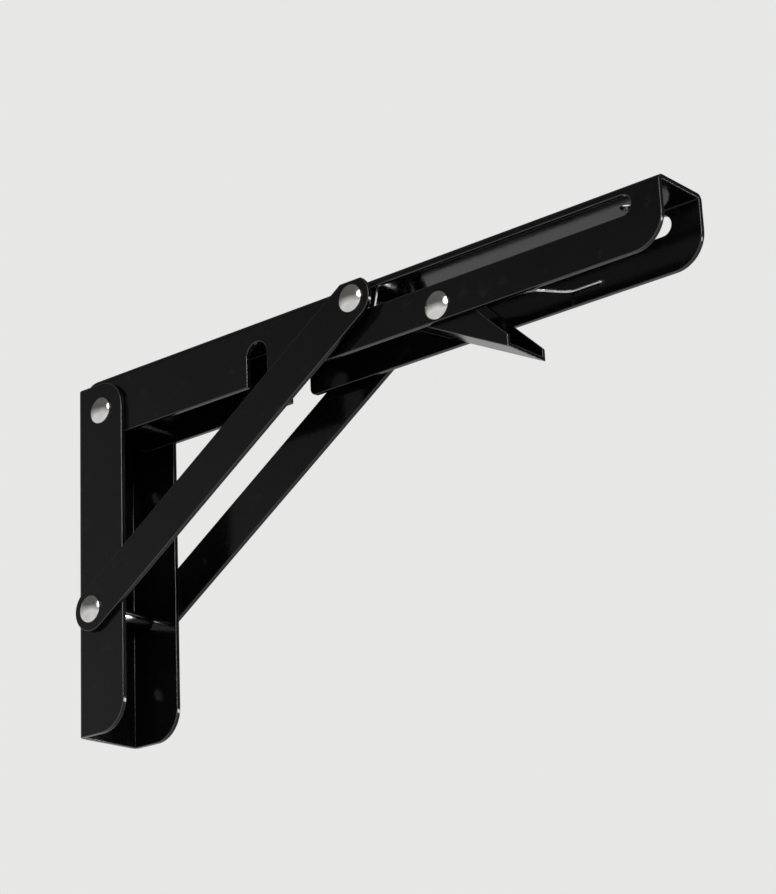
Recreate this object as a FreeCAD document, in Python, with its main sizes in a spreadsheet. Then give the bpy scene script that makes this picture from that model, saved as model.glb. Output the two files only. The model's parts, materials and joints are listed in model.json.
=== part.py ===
"""Folding shelf bracket: wall channel, swinging arm, two struts and a sprung release lever.

X runs across the bracket, the arm reaches along -Y from the wall face at Y = 0, and Z is up.
The origin is the middle of the wall screw pattern.  "out" is the distance from the wall and
"drop" the distance below the top of the arm.
"""
import FreeCAD
import Part
import math
import os

import Sketcher

V = FreeCAD.Vector

SIZES = {
    "mount_drop": (86, "middle of the wall screws below the top of the arm"),
    "sheet": (2, "sheet of both channels"),
    "bend": (2.6, "outer radius of the folds"),
    "arm_tip": (300, "tip of the arm from the wall"),
    "arm_width": (28, "width of the arm over its flanges"),
    "nest_gap": (0.5, "side gap between arm and wall channel"),
    "pivot_out": (14.3, "corner rivet from the wall"),
    "pivot_drop": (15.8, "corner rivet below the top"),
    "heel": (11.5, "arm around the corner rivet"),
    "heel_top": (8, "upper rear corner of the arm"),
    "web_start": (8, "rear end of the arm's web from the wall"),
    "tip_round": (13, "lower front corners of the arm"),
    "ear": (12.2, "wall channel around the corner rivet"),
    "wall_foot": (155, "foot of the wall channel below the top"),
    "foot_round": (13, "lower front corners of the wall channel"),
    "strut_out": (10, "strut rivet from the wall"),
    "strut_drop": (102.6, "strut rivet below the top"),
    "strut_width": (18.4, "width of the struts"),
    "strut_sheet": (2, "sheet of the struts"),
    "strut_crop": (0.3, "cropped upper end of the struts below the top of the arm"),
    "strut_gap": (0.2, "gap between strut and wall channel"),
    "slide_out": (157, "slide pin from the wall, arm open"),
    "slide_drop": (7.8, "slide pin below the top"),
    "slide_shank": (3.5, "radius of the slide pin"),
    "slide_washer": (5.2, "radius of the slide washers"),
    "slide_end_gap": (0.5, "slide pin to strut"),
    "slot_land": (17, "front centre of the slots behind the tip"),
    "slot_play": (0.6, "slide pin in its slots"),
    "notch_roof": (9, "top of the notches below the top of the arm"),
    "notch_back": (1.15, "notch behind the nested sleeve"),
    "notch_ahead": (3.35, "notch ahead of the nested sleeve"),
    "notch_lip": (3, "rounded mouth of the notch"),
    "corner_shank": (3, "radius of the corner rivet"),
    "strut_shank": (2.5, "radius of the strut rivet"),
    "sleeve": (3.25, "radius of the spacer sleeve"),
    "lever_shank": (2.5, "radius of the lever rivet"),
    "head": (5.7, "radius of the rivet heads"),
    "head_rim": (0.6, "straight rim of the heads"),
    "head_dome": (1.7, "rise of the heads above the rim"),
    "play": (0.05, "radial running clearance"),
    "side_play": (0.1, "running clearance along a pivot"),
    "lever_out": (196, "lever rivet from the wall"),
    "lever_drop": (21, "lever rivet below the top"),
    "lever_sheet": (1.5, "sheet of the lever"),
    "lever_gap": (0.3, "lever to arm flange"),
    "lever_crown": (7, "lever around its rivet"),
    "crown_ahead": (3.01, "front of the crown ahead of the lever rivet"),
    "crown_round": (6.3, "rounding of the crown"),
    "handle_out": (30.7, "handle tip ahead of the lever rivet"),
    "handle_drop": (24.8, "handle tip below the lever rivet"),
    "handle_lip": (5, "front face of the handle"),
    "lever_web": (12, "rear of the handle web behind the lever rivet"),
    "lever_knee": (3.7, "rear of the handle web below the lever rivet"),
    "pawl_play": (0.35, "pawl to slide pin"),
    "pawl_room": (1, "pawl to the web of the arm"),
    "pawl_root": (0.7, "lever below the path of the slide pin"),
    "pawl_foot": (2.8, "pawl width at its root"),
    "pawl_nose": (1.6, "pawl width at its top"),
    "tail": (1.4, "height of the lever behind the pawl root"),
    "tail_ahead": (1.736, "lower rear corner of the lever ahead of the pawl face"),
    "wire": (0.6, "radius of the spring wire"),
    "coil_room": (0.8, "coil to lever rivet"),
    "coil_gap": (0.1, "between turns of the spring"),
    "coil_turns": (4, "spring turns, rounded down by the legs"),
    "coil_points": (14, "points of the wire path in one turn"),
    "leg_rest": (10, "short leg ahead of the lever rivet"),
    "leg_seat": (0.09, "short leg above the handle web"),
    "leg_side": (0.36, "long leg inside the right flange"),
    "hook_round": (0.96, "bend of the hooked end"),
    "leg_run": (44.5, "bend of the long leg ahead of the lever rivet"),
    "leg_hook": (58.5, "hooked end of the long leg ahead of the lever rivet"),
    "leg_cross": (8, "run of the long leg in which it crosses to the flange"),
    "leg_drop": (0.5, "long leg below the lever rivet"),
    "hook_room": (0.3, "hook in its hole"),
    "wall_hole": (2.75, "radius of the wall screw holes"),
    "wall_pitch": (88, "wall screw holes apart"),
    "shelf_hole": (2.5, "radius of the shelf screw holes"),
    "shelf_first": (60, "rear shelf screw hole from the wall"),
    "shelf_last": (24, "front shelf screw hole behind the tip"),
}

doc = FreeCAD.newDocument("bracket")
sheet = doc.addObject("Spreadsheet::Sheet", "size")
for row, (alias, (value, note)) in enumerate(SIZES.items(), 1):
    sheet.set("A%d" % row, alias)
    sheet.set("B%d" % row, str(value))
    sheet.set("C%d" % row, note)
    sheet.setAlias("B%d" % row, alias)
doc.recompute()


class Dim:
    """A length as a spreadsheet expression together with its present value."""

    def __init__(self, text, value):
        self.text, self.value = text, float(value)

    def __add__(self, other):
        other = dim(other)
        return Dim("(%s + %s)" % (self.text, other.text), self.value + other.value)

    def __sub__(self, other):
        other = dim(other)
        return Dim("(%s - %s)" % (self.text, other.text), self.value - other.value)

    def __mul__(self, other):
        other = dim(other)
        return Dim("(%s * %s)" % (self.text, other.text), self.value * other.value)

    def __truediv__(self, other):
        other = dim(other)
        return Dim("(%s / %s)" % (self.text, other.text), self.value / other.value)

    def __neg__(self):
        return Dim("(0 - %s)" % self.text, -self.value)

    def root(self):
        return Dim("sqrt(%s)" % self.text, math.sqrt(self.value))


def dim(x):
    return x if isinstance(x, Dim) else Dim(repr(x), x)


class Sizes:
    def __getattr__(self, alias):
        return Dim("size." + alias, sheet.get(alias))


S = Sizes()
ZERO = dim(0)
TOP = S.mount_drop
SIDE = FreeCAD.Rotation(V(0, -1, 0), V(0, 0, 1), V(-1, 0, 0), "XYZ")
FRONT = FreeCAD.Rotation(V(1, 0, 0), V(0, 0, 1), V(0, -1, 0), "XYZ")
PLAN = FreeCAD.Rotation()
ACROSS = FreeCAD.Rotation(V(0, 1, 0), 90)
INWARD = FreeCAD.Rotation(V(1, 0, 0), -90)


def bind(thing, path, value):
    thing.setExpression(path, dim(value).text)


def place(thing, turn, x=ZERO, y=ZERO, z=ZERO):
    thing.Placement = FreeCAD.Placement(V(x.value, y.value, z.value), turn)
    for axis, value in zip("xyz", (x, y, z)):
        bind(thing, "Placement.Base." + axis, value)


class Profile:
    """A fully constrained sketch whose corners, radii and centres follow the spreadsheet."""

    def __init__(self, name, turn, x=ZERO, y=ZERO, z=ZERO):
        self.sk = doc.addObject("Sketcher::SketchObject", name)
        place(self.sk, turn, x, y, z)

    def rule(self, kind, *what):
        value = what[-1] if isinstance(what[-1], Dim) else None
        args = what[:-1] + (value.value,) if value else what
        index = self.sk.addConstraint(Sketcher.Constraint(kind, *args))
        if value:
            bind(self.sk, "Constraints[%d]" % index, value)

    def pin(self, geo, end, x, y):
        self.rule("DistanceX", -1, 1, geo, end, x)
        self.rule("DistanceY", -1, 1, geo, end, y)

    def circle(self, x, y, r):
        geo = self.sk.addGeometry(Part.Circle(V(x.value, y.value, 0), V(0, 0, 1), r.value))
        self.pin(geo, 3, x, y)
        self.rule("Radius", geo, r)
        return self

    def slot(self, x0, y0, x1, y1, r):
        """A round-ended slot from one centre to the other."""
        a, b = V(x0.value, y0.value, 0), V(x1.value, y1.value, 0)
        turn = math.atan2(b.y - a.y, b.x - a.x)
        side = V(-math.sin(turn), math.cos(turn), 0) * r.value
        up = V(0, 0, 1)
        first = Part.ArcOfCircle(Part.Circle(a, up, r.value), turn + math.pi / 2, turn + 1.5 * math.pi)
        last = Part.ArcOfCircle(Part.Circle(b, up, r.value), turn - math.pi / 2, turn + math.pi / 2)
        g = self.sk.addGeometry([first, Part.LineSegment(a - side, b - side), last,
                                 Part.LineSegment(b + side, a + side)])
        for i in range(4):
            self.rule("Tangent", g[i], 2, g[(i + 1) % 4], 1)
        self.pin(g[0], 3, x0, y0)
        self.pin(g[2], 3, x1, y1)
        self.rule("Radius", g[0], r)
        self.rule("Equal", g[0], g[2])
        return self

    def loop(self, *corners):
        """A closed outline of (x, y) sharp and (x, y, radius) rounded corners."""
        n = len(corners)
        at = [V(c[0].value, c[1].value, 0) for c in corners]
        ends, arcs = [], []
        for i, c in enumerate(corners):
            if len(c) == 2:
                ends.append((at[i], at[i]))
                arcs.append(None)
                continue
            back, ahead = (at[i - 1] - at[i]).normalize(), (at[(i + 1) % n] - at[i]).normalize()
            half = back.getAngle(ahead) / 2
            cut = c[2].value / math.tan(half)
            middle = at[i] + (back + ahead).normalize() * (c[2].value / math.sin(half))
            ends.append((at[i] + back * cut, at[i] + ahead * cut))
            left = back.cross(ahead).z < 0
            a, b = ends[-1] if left else ends[-1][::-1]
            spin = [math.atan2(p.y - middle.y, p.x - middle.x) for p in (a, b)]
            if spin[1] < spin[0]:
                spin[1] += 2 * math.pi
            circle = Part.Circle(middle, V(0, 0, 1), c[2].value)
            arcs.append((Part.ArcOfCircle(circle, *spin), (1, 2) if left else (2, 1)))
        lines = [self.sk.addGeometry(Part.LineSegment(ends[i][1], ends[(i + 1) % n][0]))
                 for i in range(n)]
        for i, c in enumerate(corners):
            before, after = lines[i - 1], lines[i]
            if arcs[i] is None:
                self.rule("Coincident", before, 2, after, 1)
                self.pin(after, 1, c[0], c[1])
                continue
            arc, (start, stop) = self.sk.addGeometry(arcs[i][0]), arcs[i][1]
            point = self.sk.addGeometry(Part.Point(at[i]), True)
            self.pin(point, 1, c[0], c[1])
            self.rule("Tangent", before, 2, arc, start)
            self.rule("Tangent", arc, stop, after, 1)
            self.rule("PointOnObject", point, 1, before)
            self.rule("PointOnObject", point, 1, after)
            self.rule("Radius", arc, c[2])
        return self

    def turned(self, corners, domes):
        """A half section on the local X axis; the edges listed in domes bulge about the axis."""
        n = len(corners)
        at = [V(x.value, y.value, 0) for x, y in corners]
        geo, ends = [], []
        for i in range(n):
            p, q = at[i], at[(i + 1) % n]
            if i not in domes:
                geo.append(self.sk.addGeometry(Part.LineSegment(p, q)))
                ends.append((1, 2))
                continue
            c = (p.x ** 2 + p.y ** 2 - q.x ** 2 - q.y ** 2) / (2 * (p.x - q.x))
            spin = sorted(math.atan2(v.y, v.x - c) for v in (p, q))
            circle = Part.Circle(V(c, 0, 0), V(0, 0, 1), (p - V(c, 0, 0)).Length)
            geo.append(self.sk.addGeometry(Part.ArcOfCircle(circle, *spin)))
            ends.append((1, 2) if math.atan2(p.y, p.x - c) == spin[0] else (2, 1))
            self.rule("PointOnObject", geo[-1], 3, -1)
        for i, (x, y) in enumerate(corners):
            self.rule("Coincident", geo[i - 1], ends[i - 1][1], geo[i], ends[i][0])
            self.pin(geo[i], ends[i][0], x, y)
        return self


def extrude(name, profile, length, both=False):
    body = doc.addObject("Part::Extrusion", name)
    body.Base = profile.sk
    body.DirMode = "Normal"
    body.Solid = True
    body.Symmetric = both
    body.FaceMakerClass = "Part::FaceMakerBullseye"
    bind(body, "LengthFwd", length)
    return body


def revolve(name, profile, out, z):
    body = doc.addObject("Part::Revolution", name)
    body.Source = profile.sk
    body.Axis = V(1, 0, 0)
    body.Angle = 360
    body.Solid = True
    body.FaceMakerClass = "Part::FaceMakerBullseye"
    bind(body, "Base.y", -out)
    bind(body, "Base.z", z)
    return body


def cylinder(name, turn, x, y, z, r, height):
    body = doc.addObject("Part::Cylinder", name)
    place(body, turn, x, y, z)
    bind(body, "Radius", r)
    bind(body, "Height", height)
    return body


def common(name, first, second):
    body = doc.addObject("Part::MultiCommon", name)
    body.Shapes = [first, second]
    body.Refine = True
    return body


def cut(name, base, *tools):
    tool = tools[0]
    if len(tools) > 1:
        tool = doc.addObject("Part::MultiFuse", name + "_cuts")
        tool.Shapes = list(tools)
    body = doc.addObject("Part::Cut", name)
    body.Base, body.Tool = base, tool
    body.Refine = True
    return body


def rivet(name, out, z, grip, shank):
    """A solid rivet across the bracket with a domed head on each side."""
    rim, peak = grip + S.head_rim, grip + S.head_rim + S.head_dome
    half = Profile(name + "_half", FRONT, y=-out, z=z).turned(
        [(-peak, ZERO), (peak, ZERO), (rim, S.head), (grip, S.head), (grip, shank),
         (-grip, shank), (-grip, S.head), (-rim, S.head)], (1, 7))
    return revolve(name, half, out, z)


def stud(name, out, z, start, grip, shank, side):
    """One riveted end: a short shank with its domed head on the outside."""
    k = dim(side)
    rim, peak = grip + S.head_rim, grip + S.head_rim + S.head_dome
    half = Profile(name + "_half", FRONT, y=-out, z=z).turned(
        [(k * start, ZERO), (k * peak, ZERO), (k * rim, S.head), (k * grip, S.head),
         (k * grip, shank), (k * start, shank)], (1,))
    return revolve(name, half, out, z)


# Levels and faces that the pieces share.
pivot_z = TOP - S.pivot_drop
strut_z = TOP - S.strut_drop
slide_z = TOP - S.slide_drop
lever_z = TOP - S.lever_drop
arm_half = S.arm_width / 2
arm_inside = arm_half - S.sheet
wall_inside = arm_half + S.nest_gap
wall_half = wall_inside + S.sheet
strut_inside = wall_half + S.strut_gap
strut_outside = strut_inside + S.strut_sheet
arm_bottom = pivot_z - S.heel
arm_rear = S.pivot_out - S.heel
inner_bend = S.bend - S.sheet

# Wall channel: folded section, cut to the side outline.
depth = S.pivot_out + S.ear
foot = TOP - S.wall_foot
head = pivot_z + S.ear
section = Profile("wall_section", PLAN, z=foot).loop(
    (-wall_half, ZERO, S.bend), (-wall_half, -depth), (-wall_inside, -depth),
    (-wall_inside, -S.sheet, inner_bend), (wall_inside, -S.sheet, inner_bend),
    (wall_inside, -depth), (wall_half, -depth), (wall_half, ZERO, S.bend))
outline = Profile("wall_outline", SIDE).loop(
    (ZERO, foot), (depth, foot, S.foot_round), (depth, head, S.ear), (ZERO, head))
outline.circle(S.pivot_out, pivot_z, S.corner_shank)
outline.circle(S.strut_out, strut_z, S.strut_shank)
wall_blank = common("wall_blank", extrude("wall_bar", section, head - foot),
                    extrude("wall_side", outline, wall_half * 3, True))
wall_channel = cut(
    "wall_channel", wall_blank,
    *[cylinder("wall_screw_%d" % i, INWARD, ZERO, -(S.sheet * 2), S.wall_pitch * k, S.wall_hole, S.sheet * 3)
      for i, k in enumerate((-0.5, 0.5))])

# Shelf arm: the same way, with the slots and the notches for the nested sleeve in its flanges.
nested_out = S.pivot_out + S.strut_drop - S.pivot_drop
notch_rear = nested_out - S.sleeve - S.notch_back
notch_front = nested_out + S.sleeve + S.notch_ahead
notch_round = (notch_front - notch_rear) / 2 * 0.995
roof = TOP - S.notch_roof
slot_half = S.slide_shank + S.slot_play
section = Profile("arm_section", FRONT, y=-arm_rear).loop(
    (-arm_half, arm_bottom), (-arm_inside, arm_bottom), (-arm_inside, TOP - S.sheet, inner_bend),
    (arm_inside, TOP - S.sheet, inner_bend), (arm_inside, arm_bottom), (arm_half, arm_bottom),
    (arm_half, TOP, S.bend), (-arm_half, TOP, S.bend))
outline = Profile("arm_outline", SIDE).loop(
    (arm_rear, arm_bottom, S.heel), (notch_rear, arm_bottom), (notch_rear, roof, notch_round),
    (notch_front, roof, notch_round), (notch_front, arm_bottom, S.notch_lip),
    (S.arm_tip, arm_bottom, S.tip_round), (S.arm_tip, TOP), (arm_rear, TOP, S.heel_top))
outline.circle(S.pivot_out, pivot_z, S.corner_shank + S.play)
outline.circle(S.lever_out, lever_z, S.lever_shank)
outline.slot(S.slide_out, slide_z, S.arm_tip - S.slot_land, slide_z, slot_half)
arm_blank = common("arm_blank", extrude("arm_bar", section, S.arm_tip - arm_rear),
                   extrude("arm_side", outline, arm_half * 3, True))
hook_out = S.lever_out + S.leg_hook
hook_z = lever_z - S.leg_drop
relief = Profile("web_relief_outline", PLAN, z=TOP - S.sheet - inner_bend).loop(
    (-arm_inside, -S.web_start), (-arm_inside, ZERO), (arm_inside, ZERO), (arm_inside, -S.web_start))
shelf_arm = cut(
    "shelf_arm", arm_blank,
    extrude("web_relief", relief, S.sheet * 2 + inner_bend),
    cylinder("hook_hole", ACROSS, arm_inside - S.sheet, -hook_out, hook_z, S.wire + S.hook_room, S.sheet * 3),
    *[cylinder("shelf_screw_" + where, PLAN, ZERO, -out, TOP - S.sheet * 2, S.shelf_hole, S.sheet * 3)
      for where, out in (("rear", S.shelf_first), ("front", S.arm_tip - S.shelf_last))])

# Struts with the riveted studs at their upper ends.
pieces = {}
for label, side in (("left", -1), ("right", 1)):
    # the side plane faces -X, so each bar starts on its face nearer +X
    face = -strut_inside if side < 0 else strut_outside
    bar = Profile(label + "_strut_outline", SIDE, x=face).slot(
        S.strut_out, strut_z, S.slide_out, slide_z, S.strut_width / 2)
    bar.circle(S.strut_out, strut_z, S.strut_shank + S.play)
    bar.circle(S.slide_out, slide_z, S.slide_shank)
    crop = Profile(label + "_strut_crop", SIDE, x=face + S.strut_sheet).loop(
        (S.strut_out, TOP - S.strut_crop), (S.slide_out + S.strut_width, TOP - S.strut_crop),
        (S.slide_out + S.strut_width, TOP + S.strut_width), (S.strut_out, TOP + S.strut_width))
    pieces[label + "_strut"] = cut(
        label + "_strut", extrude(label + "_strut_bar", bar, S.strut_sheet),
        extrude(label + "_strut_end", crop, S.strut_sheet * 3))
    pieces[label + "_strut_stud"] = stud(
        label + "_strut_stud", S.slide_out, slide_z, strut_inside, strut_outside, S.slide_shank, side)

# Rivets, the spacer sleeve and the slide pin with its washers.
corner_rivet = rivet("corner_rivet", S.pivot_out, pivot_z, wall_half, S.corner_shank)
strut_rivet = rivet("strut_rivet", S.strut_out, strut_z, strut_outside + S.side_play, S.strut_shank)
lever_rivet = rivet("lever_rivet", S.lever_out, lever_z, arm_half, S.lever_shank)
ring = Profile("sleeve_ring", SIDE).circle(S.strut_out, strut_z, S.sleeve)
ring.circle(S.strut_out, strut_z, S.strut_shank)
strut_sleeve = extrude("strut_sleeve", ring, wall_inside * 2, True)
pin_half = strut_inside - S.slide_end_gap
slide_pin = cylinder("slide_pin", ACROSS, -pin_half, -S.slide_out, slide_z, S.slide_shank, pin_half * 2)
washer_inside = arm_half + S.side_play
for label, face in (("left", -washer_inside), ("right", pin_half)):
    ring = Profile(label + "_washer_ring", SIDE, x=face).circle(S.slide_out, slide_z, S.slide_washer)
    ring.circle(S.slide_out, slide_z, S.slide_shank)
    pieces[label + "_slide_washer"] = extrude(label + "_slide_washer", ring, pin_half - washer_inside)

# Release lever: two pawl fingers that stop the slide pin, a crown on the rivet and a folded handle.
reach_out, reach_up = S.lever_out - S.slide_out, slide_z - lever_z
pawl_reach = (reach_out * reach_out + reach_up * reach_up).root() - S.slide_shank - S.pawl_play


def on_reach(z):
    rise = z - lever_z
    return S.lever_out - (pawl_reach * pawl_reach - rise * rise).root()


lever_half = arm_inside - S.lever_gap
pawl_top = TOP - S.sheet - S.pawl_room
pawl_base = slide_z - S.slide_shank - S.pawl_root
tail_z = pawl_base - S.tail
tail_out = on_reach(pawl_base) + S.tail_ahead
tip_out, tip_z = S.lever_out + S.handle_out, lever_z - S.handle_drop
crown_z = lever_z + S.lever_crown
crown_out = S.lever_out + S.crown_ahead
web_rear, knee_z = S.lever_out - S.lever_web, lever_z - S.lever_knee
slope = (tip_z - knee_z) / (tip_out - web_rear)
floor_up = S.lever_sheet * (slope * slope + 1).root()
web_ahead = tip_out + S.handle_lip
deep = tip_z - S.handle_lip
outer = Profile("lever_outline", SIDE).loop(
    (on_reach(pawl_top), pawl_top), (on_reach(pawl_base), pawl_base), (tail_out, tail_z),
    (web_rear, knee_z), (tip_out, tip_z), (tip_out, tip_z + S.handle_lip),
    (crown_out, crown_z, S.crown_round),
    (on_reach(pawl_base) + S.pawl_foot, pawl_base), (on_reach(pawl_top) + S.pawl_nose, pawl_top))
outer.circle(S.lever_out, lever_z, S.lever_shank + S.play)
inner = Profile("lever_hollow_outline", SIDE).loop(
    (S.slide_out, TOP), (S.slide_out, deep), (web_rear, deep),
    (web_rear, knee_z + floor_up), (web_ahead, knee_z + slope * (web_ahead - web_rear) + floor_up),
    (web_ahead, TOP))
release_lever = cut(
    "release_lever", extrude("lever_blank", outer, lever_half * 2, True),
    extrude("lever_hollow", inner, (lever_half - S.lever_sheet) * 2, True))


def spring():
    """Short leg on the handle web, coil on the rivet, long leg hooked through the right flange."""
    out, up, wire = S.lever_out.value, lever_z.value, S.wire.value
    coil = S.lever_shank.value + S.coil_room.value + wire
    rest = S.leg_rest.value
    rest_up = (knee_z + slope * (S.lever_web + S.leg_rest) + floor_up + S.leg_seat).value + wire - up
    run, drop = S.leg_run.value, -S.leg_drop.value
    ahead = run - S.leg_cross.value
    first = math.atan2(rest_up, rest) - math.acos(coil / math.hypot(rest, rest_up))
    last = math.atan2(drop, ahead) + math.acos(coil / math.hypot(ahead, drop))
    while last > first - 2 * math.pi * (S.coil_turns.value - 1):
        last -= 2 * math.pi
    turns = (first - last) / (2 * math.pi)
    length = (2 * wire + S.coil_gap.value) * turns
    steps = round(turns * S.coil_points.value)
    points = []
    for step in range(steps + 1):
        turn = first + (last - first) * step / steps
        points.append(V(
            length * (step / steps - 1), -out - coil * math.cos(turn), up + coil * math.sin(turn)))
    face = (arm_inside - S.leg_side).value - wire
    foot = V(-length, -out - rest, up + rest_up)
    knee = V(0, -out - ahead, up + drop)
    bend = V(face, -out - run, up + drop)
    hook = V(face, -hook_out.value, up + drop)
    tail = V(arm_half.value - wire, hook.y, hook.z)
    start, end, turn_in = points[0], points[-1], S.hook_round.value
    points = [foot + (start - foot) * t for t in (0, 0.3, 0.6, 0.85)] + points
    points += [end + (knee - end) * t for t in (0.12, 0.4, 0.7, 0.92)]
    points += [knee + (bend - knee) * t for t in (0.2, 0.5, 0.8)]
    points += [bend + (hook - bend) * t for t in (0.2, 0.5, 0.8)]
    points += [V(hook.x + turn_in * (1 - math.cos(a)), hook.y + turn_in * (1 - math.sin(a)), hook.z)
               for a in (0, math.pi / 4, math.pi / 2)]
    path = Part.BSplineCurve()
    path.interpolate(points + [tail])
    sections, side = [], V(1, 0, 0)
    for point in points + [tail]:
        lead = path.tangent(path.parameter(point))[0]
        side = (side - lead * side.dot(lead)).normalize()
        ring = Part.Circle(point, lead, wire)
        ring.XAxis = side
        sections.append(Part.Wire(ring.toShape()))
    return Part.makeLoft(sections, True, True)


lever_spring = doc.addObject("Part::Feature", "lever_spring")
lever_spring.Shape = spring()

doc.recompute()
pieces.update(
    wall_channel=wall_channel, shelf_arm=shelf_arm, corner_rivet=corner_rivet, strut_rivet=strut_rivet,
    lever_rivet=lever_rivet, strut_sleeve=strut_sleeve, slide_pin=slide_pin, release_lever=release_lever,
    lever_spring=lever_spring)
for thing in doc.Objects:
    if "Invalid" in thing.State or "Error" in thing.State:
        raise RuntimeError("%s did not compute: %s" % (thing.Name, thing.State))
for node, body in sorted(pieces.items()):
    if not body.Shape.isValid() or len(body.Shape.Solids) != 1:
        raise RuntimeError("%s is not one valid solid" % node)
    body.Label = node
os.makedirs("parts", exist_ok=True)
for node, body in sorted(pieces.items()):
    body.Shape.exportStep("parts/%s.step" % node)
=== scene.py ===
"""Finishes a folding bracket: painted pressed steel, nickel rivets, a sprung release lever, and its stage."""

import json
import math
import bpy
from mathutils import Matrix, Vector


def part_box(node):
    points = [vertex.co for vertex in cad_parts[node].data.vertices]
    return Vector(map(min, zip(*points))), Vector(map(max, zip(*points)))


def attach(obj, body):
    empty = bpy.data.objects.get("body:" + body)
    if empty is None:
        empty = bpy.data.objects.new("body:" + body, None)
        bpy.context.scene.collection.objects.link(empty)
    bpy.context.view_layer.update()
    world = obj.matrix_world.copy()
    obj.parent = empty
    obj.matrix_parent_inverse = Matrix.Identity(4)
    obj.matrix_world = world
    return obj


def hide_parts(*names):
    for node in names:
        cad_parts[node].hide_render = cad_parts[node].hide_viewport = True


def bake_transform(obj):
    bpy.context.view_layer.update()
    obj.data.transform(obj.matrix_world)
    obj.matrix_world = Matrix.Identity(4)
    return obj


bl_info = {
    "name": "Folding Bracket Finish",
    "version": (1, 0, 0),
    "blender": (4, 5, 0),
    "location": "View3D > Sidebar > Bracket",
    "description": "Rounds and paints the bracket's pressed steel, sets its rivets and lights it",
    "category": "Object",
}

import bmesh
import bpy
from bpy.props import FloatProperty, FloatVectorProperty, IntProperty, PointerProperty
from mathutils import Matrix, Vector

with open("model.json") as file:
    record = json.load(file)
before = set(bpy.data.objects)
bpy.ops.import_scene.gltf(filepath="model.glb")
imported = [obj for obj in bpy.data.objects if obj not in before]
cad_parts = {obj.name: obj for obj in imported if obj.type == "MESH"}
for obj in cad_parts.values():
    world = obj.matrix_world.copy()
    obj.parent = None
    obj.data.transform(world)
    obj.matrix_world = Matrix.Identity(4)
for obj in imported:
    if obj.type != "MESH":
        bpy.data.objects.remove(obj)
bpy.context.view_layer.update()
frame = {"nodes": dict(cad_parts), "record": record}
BODY_OF = {node: body for body, nodes in frame["record"]["behaviour"]["bodies"].items() for node in nodes}

STRUTS = ("left_strut", "right_strut")
THROUGH_RIVETS = ("corner_rivet", "strut_rivet", "lever_rivet")
STUDS = ("left_strut_stud", "right_strut_stud")
TURNED = ("slide_pin", "strut_sleeve", "left_slide_washer", "right_slide_washer")

# Tolerances of the mesh work, in metres and radians
MERGE = 1e-6
FINE_MERGE = 1e-7
GRIP_SLACK = 1e-5
FLAT_ANGLE = math.radians(0.4)
TURNED_EDGE = math.radians(32)

# Pressed pieces: material slot of their rounded edges, and how far large faces keep their own normals
EDGE_SLOT = 1
FLAT_WEIGHT = 100

# Turned pieces: middle of a broken edge as a share of its width, between a straight cut and a full round
CHAMFER_EASE = 0.35

# Rivet heads: rows of faces from crown to base, and where along them the dome, its edge and the rim end
HEAD_ROWS = 40
DOME_END, EDGE_END, RIM_END = 0.6, 0.75, 0.85

# Spring wire: points in one turn, steps between points, and the long leg's inset in wire radii
TURN_POINTS = 20
WIRE_STEPS = 5
LEG_INSET = 1.1

# Spring legs: where the points of each straight run lie along it
FOOT_SHARES = (0.0, 0.4, 0.8)
KNEE_SHARES = (0.15, 0.5, 0.94)
CROSS_SHARES = (0.14, 0.5, 0.86)
REACH_SHARES = (0.14, 0.5, 0.93)
HOOK_SHARES = (0.4, 1.0)

# Grain of the finishes: cells in a metre, layers of detail and strength of each finer layer
PAINT_RIPPLE = (620.0, 2.0, 0.45)
PAINT_DUST = (2400.0, 1.0, 0.5)
PAINT_CLOUD = (34.0, 3.0, 0.55)
PAINT_RUB = (130.0, 4.0, 0.62)
EDGE_CLOUD = (48.0, 3.0, 0.6)
EDGE_RUB = (320.0, 3.0, 0.6)
NICKEL_CLOUD = (210.0, 3.0, 0.6)
SPRING_OIL = (420.0, 3.0, 0.6)
SPRING_LINES = (5200.0, 1.0, 0.5)
FLOOR_CLOUD = (3.0, 2.0, 0.5)

# Scuffs in the nickel: cells in a metre on each axis, then grain on those cells
SCUFF_CELLS = (500.0, 9000.0, 900.0)
NICKEL_SCUFF = (1.0, 2.0, 0.6)

# Noise between these limits fades a patch in
PAINT_RUBBED = (0.60, 0.78)
EDGE_RUBBED = (0.42, 0.66)
EDGE_WORN = (0.40, 0.60)
NICKEL_DULLED = (0.42, 0.72)
SPRING_OILED = (0.40, 0.70)

# Thin paint: its share in rubbed patches, its swing with the clouds and its share everywhere
THIN_RUBBED, THIN_CLOUDED, THIN_EVERYWHERE = 0.3, 0.12, 0.06

# Roughness that each pattern adds to the paint, its edges, the nickel and the spring
CLOUD_ROUGH, DUST_ROUGH, RUB_ROUGH = 0.08, 0.04, 0.08
EDGE_ROUGH, BARE_ROUGH = 0.10, 0.06
DULL_ROUGH, SCUFF_ROUGH = 0.10, 0.08
OIL_ROUGH, LINE_ROUGH = 0.14, 0.10

# Strength of each finish's relief, what the paint's relief is made of, and the shine of both paints
PAINT_BUMP, EDGE_BUMP, NICKEL_BUMP, SPRING_BUMP = 0.35, 0.25, 0.18, 0.25
RIPPLE_SHARE, DUST_SHARE = 0.8, 0.2
PAINT_SHINE, EDGE_SHINE = 0.26, 0.5

# Floor: tone of its darker clouds as a share of the paler ones
FLOOR_SHADE = 0.97

# World: heights of a direction between which each shade fades in, and the share of the room that is above
FILL_FADE = (-0.1, 0.8)
ABOVE_FADE = (0.0, 0.45)
CEILING_FADE = (0.50, 0.85)
ABOVE_SHARE = 0.92

# World: how far a direction leans to the camera's side while the room behind the camera fades in
ROOM_FADE = (-0.25, 0.85)

# Lamps: the way each one stands from the bracket, and its breadth in degrees
LAMPS = {
    "key": ((-0.78, -0.42, 0.46), 34),
    "right": ((0.68, -0.73, 0.04), 14),
    "front": ((-0.30, -0.90, 0.31), 9),
}

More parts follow.
